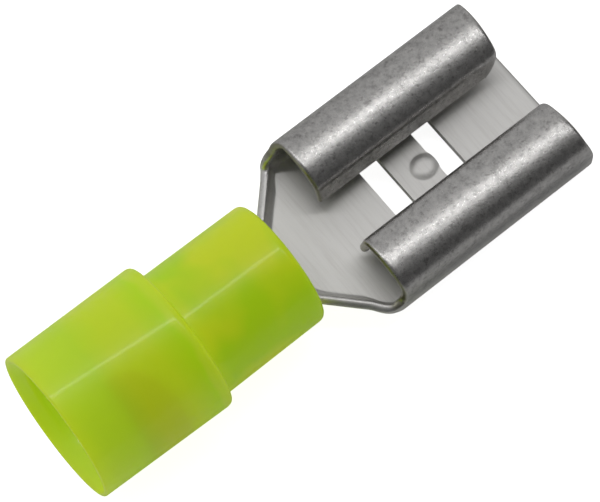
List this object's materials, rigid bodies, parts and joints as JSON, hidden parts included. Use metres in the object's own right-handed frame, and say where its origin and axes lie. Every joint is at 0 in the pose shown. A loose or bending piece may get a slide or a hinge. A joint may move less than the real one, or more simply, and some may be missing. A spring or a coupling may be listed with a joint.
{
  "type": "insulated female push-on wire terminal",
  "caption": "Nylon-insulated female push-on crimp terminal with a rolled flat tab receptacle and a stepped sleeve over its wire barrel.",
  "frame": {"origin": "centre of the wire barrel's rear mouth, on the barrel axis", "axes": "+X along the barrel towards the tab receptacle's open end, +Z towards the side that the receptacle's edges curl up to, +Y to the left seen from behind"},
  "size_m": [0.0306, 0.0108, 0.0088],
  "materials": {
    "tin_plated_brass": "satin tin plating with raw brass cut edges",
    "bare_brass": "drawn, satin",
    "yellow_nylon": "translucent moulded nylon, soft gloss"
  },
  "bodies": {
    "root": {"terminal": "tin_plated_brass", "grip_sleeve": "bare_brass", "insulating_sleeve": "yellow_nylon"}
  },
  "joints": []
}
